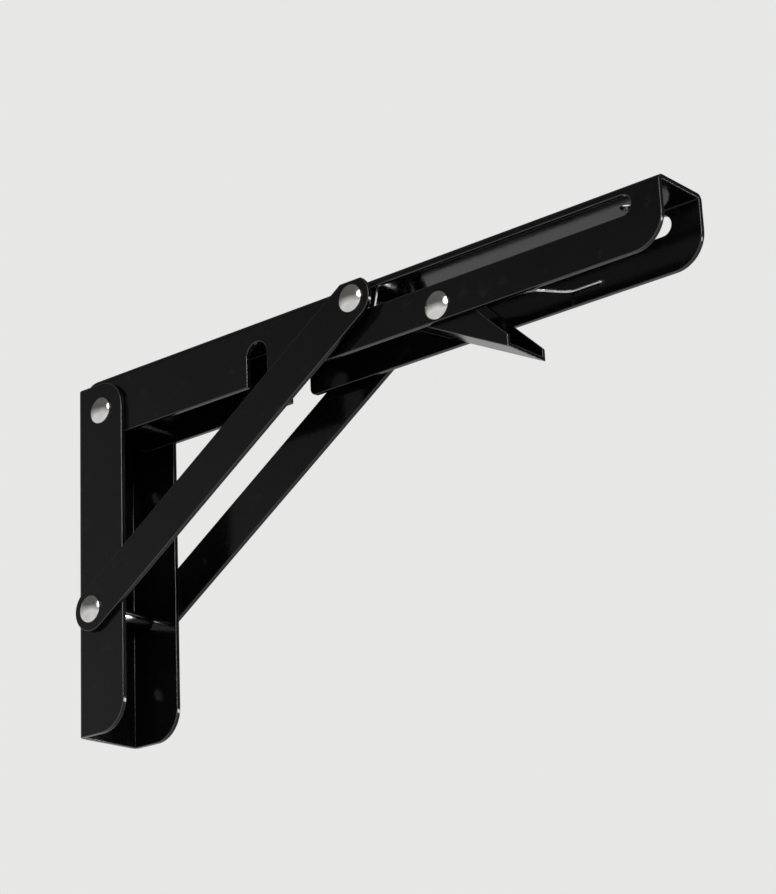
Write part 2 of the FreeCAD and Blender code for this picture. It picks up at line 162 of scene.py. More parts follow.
# Camera sensor in millimetres, and its nearest and farthest sight in metres
SENSOR = 36.0
SIGHT_LIMITS = (0.01, 50.0)


# Settings

class SheetSettings(bpy.types.PropertyGroup):
    """Pressed steel and its paint."""

    edge_round: FloatProperty(
        name="Edge Rounding", description="Width of the rounding on sheared and punched edges",
        default=0.00032, min=0.0, precision=5, unit="LENGTH")
    edge_steps: IntProperty(name="Edge Steps", description="Faces across one rounded edge", default=3, min=1)
    edge_angle: FloatProperty(
        name="Edge Angle", description="Edges sharper than this are rounded",
        default=math.radians(38), subtype="ANGLE")
    paint: FloatVectorProperty(
        name="Paint", description="Black baked paint",
        default=(0.0016, 0.0016, 0.0016), subtype="COLOR", size=3)
    # also the colour of the rounded edges, lighter than the paint as a painted highlight along them as well
    # as thin paint
    paint_thin: FloatVectorProperty(
        name="Thin Paint", description="Paint where handling has dulled it",
        default=(0.022, 0.022, 0.022), subtype="COLOR", size=3)
    # lighter still in rubbed patches on the rounded edges: a painted highlight there as well as wear
    paint_edge: FloatVectorProperty(
        name="Edge Paint", description="Paint drawn thin over the sheared edges",
        default=(0.034, 0.034, 0.035), subtype="COLOR", size=3)
    gloss: FloatProperty(
        name="Paint Roughness", description="Mean roughness of the paint", default=0.12, subtype="FACTOR")
    peel: FloatProperty(
        name="Orange Peel", description="Height of the ripple in the baked paint",
        default=0.00006, precision=6, unit="LENGTH")


class RivetSettings(bpy.types.PropertyGroup):
    """Domed rivets, studs, washers and the slide pin."""

    rim: FloatProperty(
        name="Rim", description="Straight height of a rivet head below its dome",
        default=0.0006, precision=5, unit="LENGTH")
    dome: FloatProperty(
        name="Dome", description="Rise of a rivet head above its rim",
        default=0.0017, precision=5, unit="LENGTH")
    edge: FloatProperty(
        name="Edge", description="Rounding between a head's dome and its rim",
        default=0.00035, precision=5, unit="LENGTH")
    sides: IntProperty(name="Sides", description="Faces round a rivet", default=56, min=12)
    chamfer: FloatProperty(
        name="Chamfer", description="Broken edge of the turned pieces",
        default=0.00035, precision=5, unit="LENGTH")
    nickel: FloatVectorProperty(
        name="Nickel", description="Polished plating",
        default=(0.82, 0.805, 0.775), subtype="COLOR", size=3)
    nickel_dull: FloatVectorProperty(
        name="Dull Nickel", description="Plating where it is clouded",
        default=(0.66, 0.645, 0.62), subtype="COLOR", size=3)
    polish: FloatProperty(
        name="Nickel Roughness", description="Mean roughness of the plating", default=0.11, subtype="FACTOR")
    scuff: FloatProperty(
        name="Scuff", description="Depth of the scuffs in the plating",
        default=0.00002, precision=6, unit="LENGTH")


class SpringSettings(bpy.types.PropertyGroup):
    """Wound wire of the lever spring."""

    wire: FloatProperty(
        name="Wire", description="Radius of the wire", default=0.0006, precision=5, unit="LENGTH")
    sides: IntProperty(name="Sides", description="Faces round the wire", default=20, min=6)
    coil: FloatProperty(
        name="Coil", description="Radius of the coil at the middle of its wire",
        default=0.0039, precision=5, unit="LENGTH")
    turns: IntProperty(
        name="Turns", description="Turns of the coil, rounded down by its legs", default=4, min=2)
    gap: FloatProperty(
        name="Gap", description="Space between turns", default=0.0001, precision=5, unit="LENGTH")
    rest: FloatVectorProperty(
        name="Rest", description="End of the short leg ahead of the lever rivet and above it",
        default=(0.010, -0.01221), precision=5, size=2, unit="LENGTH")
    knee: FloatVectorProperty(
        name="Knee", description="Bend of the long leg ahead of the lever rivet and above it",
        default=(0.0365, -0.0005), precision=5, size=2, unit="LENGTH")
    cross: FloatProperty(
        name="Cross", description="Run of the long leg in which it crosses to the flange",
        default=0.008, precision=5, unit="LENGTH")
    hook: FloatProperty(
        name="Hook", description="Hooked end of the long leg ahead of the lever rivet",
        default=0.0585, precision=5, unit="LENGTH")
    steel: FloatVectorProperty(
        name="Spring Steel", description="Bright drawn wire",
        default=(0.78, 0.77, 0.75), subtype="COLOR", size=3)
    steel_dark: FloatVectorProperty(
        name="Oiled Steel", description="Wire where the coiling oil stayed",
        default=(0.50, 0.49, 0.475), subtype="COLOR", size=3)
    draw: FloatProperty(
        name="Wire Roughness", description="Mean roughness of the drawn wire", default=0.24, subtype="FACTOR")
    line: FloatProperty(
        name="Draw Lines", description="Depth of the lines that drawing leaves on the wire",
        default=0.00002, precision=6, unit="LENGTH")


class StageSettings(bpy.types.PropertyGroup):
    """Floor, background, lamps and camera."""

    floor_level: FloatProperty(name="Floor", description="Height of the floor", default=-0.40, unit="LENGTH")
    floor_reach: FloatProperty(
        name="Floor Reach", description="Floor on each side of the bracket", default=40.0, unit="LENGTH")
    floor_tone: FloatVectorProperty(
        name="Floor Tone", description="Pale floor", default=(0.92, 0.915, 0.905), subtype="COLOR", size=3)
    floor_matt: FloatProperty(
        name="Floor Roughness", description="Roughness of the floor", default=0.8, subtype="FACTOR")
    backdrop: FloatVectorProperty(
        name="Backdrop", description="Background that the camera and the metal see",
        default=(0.80, 0.80, 0.79), subtype="COLOR", size=3)
    fill_low: FloatVectorProperty(
        name="Low Fill", description="Light from round the horizon and below",
        default=(0.86, 0.86, 0.85), subtype="COLOR", size=3)
    fill_high: FloatVectorProperty(
        name="High Fill", description="Light from overhead",
        default=(0.60, 0.61, 0.63), subtype="COLOR", size=3)
    fill: FloatProperty(name="Fill", description="Strength of the light from all round", default=0.85)
    key: FloatProperty(name="Key", description="Strength of the broad light on the left", default=1.2)
    right: FloatProperty(name="Right Light", description="Strength of the light on the right", default=1.0)
    front: FloatProperty(name="Front Light", description="Strength of the narrow light in front", default=0.5)
    room: FloatProperty(
        name="Room", description="Share of the backdrop that metal sees above it and behind the camera",
        default=0.06, subtype="FACTOR")
    ceiling: FloatProperty(
        name="Ceiling", description="Share of the backdrop that metal sees straight overhead",
        default=0.15, subtype="FACTOR")
    lens: FloatProperty(
        name="Lens", description="Focal length on the camera's tall side, in millimetres", default=102.0)
    eye: FloatVectorProperty(
        name="Eye", description="Place of the camera",
        default=(-0.7193, -0.7473, -0.3019), subtype="XYZ", size=3)
    sight: FloatVectorProperty(
        name="Sight", description="Direction of view",
        default=(0.73042, 0.59911, 0.32796), subtype="XYZ", size=3)
    upright: FloatVectorProperty(
        name="Upright", description="Direction of the top of the picture",
        default=(-0.22509, -0.2422, 0.94375), subtype="XYZ", size=3)


# Node trees

class Field:
    """A socket that takes part in arithmetic: each step adds its Math node."""

    def __init__(self, bench, socket):
        self.bench, self.socket = bench, socket

    def _step(self, operation, *values):
        return self.bench.node("ShaderNodeMath", {"operation": operation}, dict(enumerate(values)))[0]

    def __add__(self, other):
        return self._step("ADD", self, other)

    def __radd__(self, other):
        return self._step("ADD", other, self)

    def __sub__(self, other):
        return self._step("SUBTRACT", self, other)

    def __rsub__(self, other):
        return self._step("SUBTRACT", other, self)

    def __mul__(self, other):
        return self._step("MULTIPLY", self, other)

    def __rmul__(self, other):
        return self._step("MULTIPLY", other, self)

    def __truediv__(self, other):
        return self._step("DIVIDE", self, other)

    def __rtruediv__(self, other):
        return self._step("DIVIDE", other, self)

    def sine(self):
        return self._step("SINE", self)

    def cosine(self):
        return self._step("COSINE", self)

    def arcsine(self):
        return self._step("ARCSINE", self)

    def within(self, low, high):
        """Runs from 0 at low to 1 at high and stays level outside them."""
        settings = {"operation": "MULTIPLY", "use_clamp": True}
        return self.bench.node("ShaderNodeMath", settings, {0: self - low, 1: 1.0 / (high - low)})[0]

    def swing(self, width):
        """Even noise moved to lie about 0, this wide from low to high."""
        return (self - 0.5) * width


class Bench:
    """One node tree being wired."""

    def __init__(self, tree):
        self.tree = tree

    def node(self, kind, settings=None, sockets=None):
        """Adds a node, sets it, fills its sockets by index, identifier or name, and gives its outputs."""
        made = self.tree.nodes.new(kind)
        for name, value in (settings or {}).items():
            setattr(made, name, value)
        for key, value in (sockets or {}).items():
            target = find_socket(made.inputs, key)
            if isinstance(value, list):
                for one in value:
                    self.tree.links.new(one.socket, target)
            elif isinstance(value, Field):
                self.tree.links.new(value.socket, target)
            else:
                target.default_value = value
        return Outputs(self, made)

    def mix(self, low, high, share):
        """Colour between two tones."""
        return self.node("ShaderNodeMix", {"data_type": "RGBA"}, {
            "Factor_Float": share, "A_Color": low, "B_Color": high})["Result_Color"]

    def grain(self, place, scale, detail, rough):
        """Even noise from 0 to 1."""
        return self.node("ShaderNodeTexNoise", {"noise_dimensions": "3D"}, {
            "Vector": place, "Scale": scale, "Detail": detail, "Roughness": rough})[0]

    def bump(self, strength, distance, height):
        """Normal of a surface with this height on it."""
        return self.node("ShaderNodeBump", None, {
            "Strength": strength, "Distance": distance, "Height": height})["Normal"]

    def coat(self, sockets):
        """Ends a material in one Principled shader."""
        self.surface(self.node("ShaderNodeBsdfPrincipled", None, sockets)["BSDF"])

    def surface(self, shader):
        """Ends a material in any shader."""
        self.node("ShaderNodeOutputMaterial", None, {"Surface": shader})


class Outputs:
    """Outputs of a placed node, by index, identifier or name."""

    def __init__(self, bench, made):
        self.bench, self.made = bench, made

    def __getitem__(self, key):
        return Field(self.bench, find_socket(self.made.outputs, key))


def find_socket(sockets, key):
    """A node's socket by index, or by identifier before name, because names can repeat."""
    if isinstance(key, int):
        return sockets[key]
    for socket in sockets:
        if socket.identifier == key:
            return socket
    return sockets[key]


def tone(colour, share=1.0):
    """A share of a colour, with full opacity."""
    return (*[part * share for part in colour], 1.0)


# Finishes, each named as its material is

def new_finish(name):
    """An empty material, its bench and the coordinates that its patterns lie on."""
    material = bpy.data.materials.new(name)
    material.use_nodes = True
    material.node_tree.nodes.clear()
    bench = Bench(material.node_tree)
    return material, bench, bench.node("ShaderNodeTexCoord")["Object"]


def finish(maker, settings):
    """The material that a function makes, made once."""
    return bpy.data.materials.get(maker.__name__) or maker(settings)


def baked_black_paint(sheet):
    """Baked black paint: faint ripple, cloudy gloss, dulled here and there by handling."""
    material, bench, place = new_finish("baked_black_paint")
    ripple = bench.grain(place, *PAINT_RIPPLE)
    dust = bench.grain(place, *PAINT_DUST)
    cloud = bench.grain(place, *PAINT_CLOUD)
    rub = bench.grain(place, *PAINT_RUB).within(*PAINT_RUBBED)
    thin = rub * THIN_RUBBED + cloud.swing(THIN_CLOUDED) + THIN_EVERYWHERE
    bench.coat({
        "Base Color": bench.mix(tone(sheet.paint), tone(sheet.paint_thin), thin),
        "Roughness": sheet.gloss + cloud.swing(CLOUD_ROUGH) + dust.swing(DUST_ROUGH) + rub * RUB_ROUGH,
        "Normal": bench.bump(PAINT_BUMP, sheet.peel, ripple * RIPPLE_SHARE + dust * DUST_SHARE),
        "Specular IOR Level": PAINT_SHINE})
    return material


def thin_edge_paint(sheet):
    """The same paint on the rounded edges, lighter as a painted highlight along them as well as paint thinned
    there: greyer, slicker, rubbed here and there.
    """
    material, bench, place = new_finish("thin_edge_paint")
    cloud = bench.grain(place, *EDGE_CLOUD)
    rub = bench.grain(place, *EDGE_RUB).within(*EDGE_RUBBED)
    bare = rub * cloud.within(*EDGE_WORN)
    bench.coat({
        # the lighter base colour is a painted highlight along the edges, and also thinned and rubbed paint
        "Base Color": bench.mix(tone(sheet.paint_thin), tone(sheet.paint_edge), bare),
        "Roughness": sheet.gloss + cloud.swing(EDGE_ROUGH) + bare * BARE_ROUGH,
        "Normal": bench.bump(EDGE_BUMP, sheet.peel, rub),
        "Specular IOR Level": EDGE_SHINE})
    return material


def polished_nickel(rivets):
    """Polished plating with faint clouding and hairline scuffs."""
    material, bench, place = new_finish("polished_nickel")
    dull = bench.grain(place, *NICKEL_CLOUD).within(*NICKEL_DULLED)
    stretched = bench.node("ShaderNodeMapping", None, {"Vector": place, "Scale": SCUFF_CELLS})["Vector"]
    scuff = bench.grain(stretched, *NICKEL_SCUFF)
    bench.coat({
        "Base Color": bench.mix(tone(rivets.nickel), tone(rivets.nickel_dull), dull),
        "Metallic": 1.0,
        "Roughness": rivets.polish + dull * DULL_ROUGH + scuff.swing(SCUFF_ROUGH),
        "Normal": bench.bump(NICKEL_BUMP, rivets.scuff, scuff)})
    return material


def drawn_spring_steel(spring):
    """Drawn wire, bright with darker oiled patches."""
    material, bench, place = new_finish("drawn_spring_steel")
    oil = bench.grain(place, *SPRING_OIL).within(*SPRING_OILED)
    line = bench.grain(place, *SPRING_LINES)
    bench.coat({
        "Base Color": bench.mix(tone(spring.steel), tone(spring.steel_dark), oil),
        "Metallic": 1.0,
        "Roughness": spring.draw + oil * OIL_ROUGH + line.swing(LINE_ROUGH),
        "Normal": bench.bump(SPRING_BUMP, spring.line, line)})
    return material


# Shapes

def link(name, data):
    """Puts a mesh, lamp or camera in the scene."""
    thing = bpy.data.objects.new(name, data)
    bpy.context.scene.collection.objects.link(thing)
    return thing


def settle(piece):
    """Turns the modifiers of a piece into plain mesh."""
    graph = bpy.context.evaluated_depsgraph_get()
    made = bpy.data.meshes.new_from_object(
        piece.evaluated_get(graph), preserve_all_data_layers=True, depsgraph=graph)
    if not made.polygons:
        raise RuntimeError("%s has no faces" % piece.name)
    piece.modifiers.clear()
    raw, piece.data = piece.data, made
    bpy.data.meshes.remove(raw)
    made.name = piece.name


def mend(shape):
    """Closes seams and poles and turns the faces outwards."""
    bmesh.ops.remove_doubles(shape, verts=shape.verts, dist=FINE_MERGE)
    bmesh.ops.recalc_face_normals(shape, faces=shape.faces)


def place_on(piece, node):
    """Stands a piece in for its solid, on the body that carries it."""
    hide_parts(node)
    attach(piece, BODY_OF[node])


def pressed_piece(node, sheet):
    """Makes the node's solid over, with its facets merged, its sheared edges rounded and its paint on."""
    shape = bmesh.new()
    shape.from_mesh(frame["nodes"][node].data)
    bmesh.ops.remove_doubles(shape, verts=shape.verts, dist=MERGE)
    bmesh.ops.dissolve_limit(shape, angle_limit=FLAT_ANGLE, verts=shape.verts, edges=shape.edges)
    shape.verts.index_update()
    mesh = bpy.data.meshes.new(node + "_sheet")
    mesh.from_pydata([v.co for v in shape.verts], [], [[v.index for v in f.verts] for f in shape.faces])
    shape.free()
    mesh.polygons.foreach_set("use_smooth", [True] * len(mesh.polygons))
    mesh.materials.append(finish(baked_black_paint, sheet))
    # the rounded edges take the lighter edge paint, a painted highlight along them as well as thin paint
    mesh.materials.append(finish(thin_edge_paint, sheet))
    piece = link(node + "_sheet", mesh)
    edge = piece.modifiers.new("Sheared edge", "BEVEL")
    edge.width, edge.segments = sheet.edge_round, sheet.edge_steps
    edge.limit_method, edge.angle_limit = "ANGLE", sheet.edge_angle
    edge.use_clamp_overlap, edge.material = False, EDGE_SLOT
    flat = piece.modifiers.new("Flat faces", "WEIGHTED_NORMAL")
    flat.mode, flat.weight = "FACE_AREA", FLAT_WEIGHT
    settle(piece)
    # a rounding that overshoots at a tight corner is held inside the solid's box
    low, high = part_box(node)
    for vertex in piece.data.vertices:
        vertex.co = [min(max(c, least), most) for c, least, most in zip(vertex.co, low, high)]
    place_on(piece, node)


def turned_node(node):
    """Ends and middle of a turned node, and the (x, radius) of each of its vertices."""
    low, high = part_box(node)
    middle = (low + high) / 2
    spots = [(v.co.x, math.hypot(v.co.y - middle.y, v.co.z - middle.z))
             for v in frame["nodes"][node].data.vertices]
    return low, high, middle, spots


def turned_piece(node, rivets):
    """Lathe work about the node's axis, with its outer edges broken."""
    low, high, middle, spots = turned_node(node)
    radii = [radius for _, radius in spots]
    bore, outer = min(radii), max(radii)
    # the pin is full, but none of its vertices lies on its axis
    if node == "slide_pin":
        bore = 0.0
    cut = rivets.chamfer
    ease = cut * CHAMFER_EASE
    end = [(0.0, bore), (0.0, outer - cut), (ease, outer - ease), (cut, outer)]
    profile = [(low.x + x, radius) for x, radius in end]
    profile += [(high.x - x, radius) for x, radius in reversed(end)]
    shape = bmesh.new()
    rings = []
    for x, radius in profile:
        ring = []
        for step in range(rivets.sides):
            turn = 2 * math.pi * step / rivets.sides
            ring.append(shape.verts.new((
                x, middle.y + radius * math.cos(turn), middle.z + radius * math.sin(turn))))
        rings.append(ring)
    for near, far in zip(rings, rings[1:] + rings[:1]):
        for step in range(rivets.sides):
            after = (step + 1) % rivets.sides
            shape.faces.new((near[step], near[after], far[after], far[step]))
    mend(shape)
    mesh = bpy.data.meshes.new(node + "_turned")
    shape.to_mesh(mesh)
    shape.free()
    mesh.polygons.foreach_set("use_smooth", [True] * len(mesh.polygons))
    mesh.set_sharp_from_angle(angle=TURNED_EDGE)
    mesh.materials.append(finish(polished_nickel, rivets))
    place_on(link(node + "_turned", mesh), node)


def new_tree(name, inputs):
    """A Geometry Nodes tree with a mesh in and a mesh out, its bench and its inputs."""
    tree = bpy.data.node_groups.new(name, "GeometryNodeTree")
    tree.interface.new_socket("Geometry", in_out="INPUT", socket_type="NodeSocketGeometry")
    for label, kind in inputs.items():
        tree.interface.new_socket(label, in_out="INPUT", socket_type="NodeSocket" + kind)
    tree.interface.new_socket("Geometry", in_out="OUTPUT", socket_type="NodeSocketGeometry")
    bench = Bench(tree)
    return tree, bench, bench.node("NodeGroupInput")


def round_bar(bench, curve, radius, sides):
    """A closed round bar along a curve."""
    ring = bench.node("GeometryNodeCurvePrimitiveCircle", {"mode": "RADIUS"}, {
        "Resolution": sides, "Radius": radius})["Curve"]
    return bench.node("GeometryNodeCurveToMesh", None, {
        "Curve": curve, "Profile Curve": ring, "Fill Caps": True})["Mesh"]


def end_tree(bench, mesh, material):
    """Realizes what a tree made and gives it its finish."""
    real = bench.node("GeometryNodeRealizeInstances", None, {"Geometry": mesh})["Geometry"]
    done = bench.node("GeometryNodeSetMaterial", None, {"Geometry": real, "Material": material})["Geometry"]
    bench.node("NodeGroupOutput", None, {"Geometry": done})


def domed_head(bench, given):
    """One rivet head on its base: a ball's cap, a rounded edge, a straight rim and a flat base."""
    grid = bench.node("GeometryNodeMeshGrid", None, {
        "Size X": 1.0, "Size Y": 1.0,
        "Vertices X": given["Sides"] + 1, "Vertices Y": HEAD_ROWS + 1})["Mesh"]
    spot = bench.node("ShaderNodeSeparateXYZ", None, {
        "Vector": bench.node("GeometryNodeInputPosition")["Position"]})
    turn = (spot["X"] + 0.5) * (2 * math.pi)
    run = spot["Y"] + 0.5
    reach, dome, edge = given["Head Radius"], given["Dome"], given["Edge"]
    ball = (reach * reach + dome * dome) / (dome * 2.0)
    brink = ((reach - edge) / (ball - edge)).arcsine()
    slope = run.within(0.0, DOME_END) * brink
    tilt = slope + run.within(DOME_END, EDGE_END) * (math.pi / 2 - brink)
    wall = run.within(EDGE_END, RIM_END)
    base = run.within(RIM_END, 1.0)
    radius = ((ball - edge) * slope.sine() + edge * tilt.sine()) * (1 - base)
    sink = given["Rim"] + dome - ball
    rise = (sink + (ball - edge) * slope.cosine() + edge * tilt.cosine()) * (1 - wall)
    domed = bench.node("GeometryNodeSetPosition", None, {
        "Geometry": grid,
        "Position": bench.node("ShaderNodeCombineXYZ", None, {
            "X": radius * turn.cosine(), "Y": radius * turn.sine(), "Z": rise})["Vector"]})["Geometry"]
    return bench.node("GeometryNodeMergeByDistance", None, {
        "Geometry": domed, "Distance": MERGE})["Geometry"]


def rivet_tree():
    """Geometry Nodes: a shank along an edge, with a domed head on each end or on the far end alone."""
    tree = bpy.data.node_groups.get("domed_rivet")
    if tree:
        return tree
    tree, bench, given = new_tree("domed_rivet", {
        "Shank Radius": "Float", "Head Radius": "Float", "Rim": "Float", "Dome": "Float", "Edge": "Float",
        "Sides": "Int", "First Head": "Int", "Finish": "Material"})
    axis = given["Geometry"]
    line = bench.node("GeometryNodeMeshToCurve", None, {"Mesh": axis})["Curve"]
    shank = round_bar(bench, line, given["Shank Radius"], given["Sides"])
    where = bench.node("GeometryNodeInputPosition")["Position"]
    middle = bench.node("GeometryNodeAttributeStatistic", {"data_type": "FLOAT_VECTOR", "domain": "POINT"}, {
        "Geometry": axis, "Attribute": where})["Mean"]
    outward = bench.node("ShaderNodeVectorMath", {"operation": "SUBTRACT"}, {0: where, 1: middle})["Vector"]
    facing = bench.node("FunctionNodeAlignRotationToVector", {"axis": "Z"}, {"Vector": outward})["Rotation"]
    headed = bench.node("FunctionNodeCompare", {"data_type": "INT", "operation": "GREATER_EQUAL"}, {
        "A_INT": bench.node("GeometryNodeInputIndex")["Index"], "B_INT": given["First Head"]})["Result"]
    heads = bench.node("GeometryNodeInstanceOnPoints", None, {
        "Points": axis, "Selection": headed, "Instance": domed_head(bench, given),
        "Rotation": facing})["Instances"]
    whole = bench.node("GeometryNodeJoinGeometry", None, {"Geometry": [shank, heads]})["Geometry"]
    smooth = bench.node("GeometryNodeSetShadeSmooth", None, {"Geometry": whole})["Geometry"]
    end_tree(bench, smooth, given["Finish"])
    return tree


def wire_tree():
    """Geometry Nodes: round wire drawn along a run of edges."""
    tree, bench, given = new_tree("wound_wire", {
        "Wire Radius": "Float", "Sides": "Int", "Finish": "Material"})
    run = bench.node("GeometryNodeMeshToCurve", None, {"Mesh": given["Geometry"]})["Curve"]
    drawn = bench.node("GeometryNodeCurveSplineType", {"spline_type": "CATMULL_ROM"}, {"Curve": run})["Curve"]
    fine = bench.node("GeometryNodeSetSplineResolution", None, {
        "Geometry": drawn, "Resolution": WIRE_STEPS})["Geometry"]
    end_tree(bench, round_bar(bench, fine, given["Wire Radius"], given["Sides"]), given["Finish"])
    return tree


def grown_piece(name, route, tree, values):
    """A run of edges that a Geometry Nodes tree with these inputs turns into a mesh."""
    mesh = bpy.data.meshes.new(name)
    mesh.from_pydata(route, [(step, step + 1) for step in range(len(route) - 1)], [])
    piece = link(name, mesh)
    grower = piece.modifiers.new(tree.name, "NODES")
    grower.node_group = tree
    for socket in tree.interface.items_tree:
        if socket.in_out == "INPUT" and socket.name in values:
            grower[socket.identifier] = values[socket.name]
    settle(piece)
    shape = bmesh.new()
    shape.from_mesh(piece.data)
    mend(shape)
    shape.to_mesh(piece.data)
    shape.free()
    return piece


def rivet_piece(node, rivets, first_head):
    """Sets a rivet along its solid's axis: heads on both ends from 0, on the outer end alone from 1."""
    low, high, middle, spots = turned_node(node)
    lift = rivets.rim + rivets.dome
    ends = [Vector((x, middle.y, middle.z)) for x in (low.x, high.x)]
    if first_head and middle.x < 0:
        ends.reverse()
    along = (ends[1] - ends[0]).normalized()
    ends[1] -= along * lift
    if not first_head:
        ends[0] += along * lift
    start, stop = sorted(end.x for end in ends)
    shank = min(radius for x, radius in spots if start - GRIP_SLACK < x < stop + GRIP_SLACK)
    piece = grown_piece(node + "_set", ends, rivet_tree(), {
        "Shank Radius": shank, "Head Radius": max(radius for _, radius in spots),
        "Rim": rivets.rim, "Dome": rivets.dome, "Edge": rivets.edge, "Sides": rivets.sides,
        "First Head": first_head, "Finish": finish(polished_nickel, rivets)})
    place_on(piece, node)


def spring_route(spring, axis):
    """Points of the wire: short leg, coil round the lever rivet, long leg hooked in the right flange."""
    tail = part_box("lever_spring")[1].x
    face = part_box("release_lever")[1].x - spring.wire * LEG_INSET

    def spot(across, ahead, above):
        return Vector((across, axis.y - ahead, axis.z + above))

    def tangent(ahead, above, side):
        return math.atan2(above, ahead) + side * math.acos(spring.coil / math.hypot(ahead, above))

    def between(start, stop, shares):
        return [start.lerp(stop, share) for share in shares]

    first, last = tangent(*spring.rest, -1), tangent(*spring.knee, 1)
    while last > first - 2 * math.pi * (spring.turns - 1):
        last -= 2 * math.pi
    turns = (first - last) / (2 * math.pi)
    length = turns * (2 * spring.wire + spring.gap)
    steps = round(turns * TURN_POINTS)
    coil = []
    for step in range(steps + 1):
        turn = first + (last - first) * step / steps
        coil.append(spot(
            length * (step / steps - 1), spring.coil * math.cos(turn), spring.coil * math.sin(turn)))
    foot = spot(-length, *spring.rest)
    knee = spot(0.0, *spring.knee)
    bend = spot(face, spring.knee[0] + spring.cross, spring.knee[1])
    hook = spot(face, spring.hook, spring.knee[1])
    end = Vector((tail, hook.y, hook.z))
    route = between(foot, coil[0], FOOT_SHARES) + coil
    route += between(coil[-1], knee, KNEE_SHARES)
    route += between(knee, bend, CROSS_SHARES)
    route += between(bend, hook, REACH_SHARES)
    return route + between(hook, end, HOOK_SHARES)


# Operators

class BRACKET_OT_wall_channel(bpy.types.Operator):
    """Rounds and paints the fixed channel"""

    bl_idname = "bracket.wall_channel"
    bl_label = "Wall Channel"

    def execute(self, context):
        pressed_piece("wall_channel", context.scene.bracket_sheet)
        return {"FINISHED"}


class BRACKET_OT_shelf_arm(bpy.types.Operator):
    """Rounds and paints the slotted arm"""

    bl_idname = "bracket.shelf_arm"
    bl_label = "Shelf Arm"

    def execute(self, context):
        pressed_piece("shelf_arm", context.scene.bracket_sheet)
        return {"FINISHED"}


class BRACKET_OT_struts(bpy.types.Operator):
    """Rounds and paints the two folding struts"""

    bl_idname = "bracket.struts"
    bl_label = "Struts"

    def execute(self, context):
        for node in STRUTS:
            pressed_piece(node, context.scene.bracket_sheet)
        return {"FINISHED"}


class BRACKET_OT_release_lever(bpy.types.Operator):
    """Rounds and paints the lever that lets the struts go"""

    bl_idname = "bracket.release_lever"
    bl_label = "Release Lever"

    def execute(self, context):
        pressed_piece("release_lever", context.scene.bracket_sheet)
        return {"FINISHED"}


class BRACKET_OT_rivets(bpy.types.Operator):
    """Sets the through rivets and the strut studs with Geometry Nodes"""

    bl_idname = "bracket.rivets"
    bl_label = "Rivets and Studs"

    def execute(self, context):
        for node in THROUGH_RIVETS:
            rivet_piece(node, context.scene.bracket_rivets, 0)
        for node in STUDS:
            rivet_piece(node, context.scene.bracket_rivets, 1)
        return {"FINISHED"}


class BRACKET_OT_slide_pin(bpy.types.Operator):
    """Turns the slide pin, its washers and the strut sleeve with broken edges"""

    bl_idname = "bracket.slide_pin"
    bl_label = "Slide Pin and Washers"

    def execute(self, context):
        for node in TURNED:
            turned_piece(node, context.scene.bracket_rivets)
        return {"FINISHED"}


class BRACKET_OT_lever_spring(bpy.types.Operator):
    """Winds the lever spring along its route with Geometry Nodes"""

    bl_idname = "bracket.lever_spring"
    bl_label = "Lever Spring"

    def execute(self, context):
        spring = context.scene.bracket_spring
        axis = sum(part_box("lever_rivet"), Vector()) / 2
        route = spring_route(spring, axis)
        piece = grown_piece("lever_spring_wound", route, wire_tree(), {
            "Wire Radius": spring.wire, "Sides": spring.sides,
            "Finish": finish(drawn_spring_steel, spring)})
        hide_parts("lever_spring")
        # points on the coil's axis at the end of the hooked leg on the arm and at the end of the short leg on
        # the lever
        fixed, turned = axis.copy(), axis.copy()
        fixed.x, turned.x = -spring.wire, route[0].x + spring.wire
        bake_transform(piece)
        return {"FINISHED"}


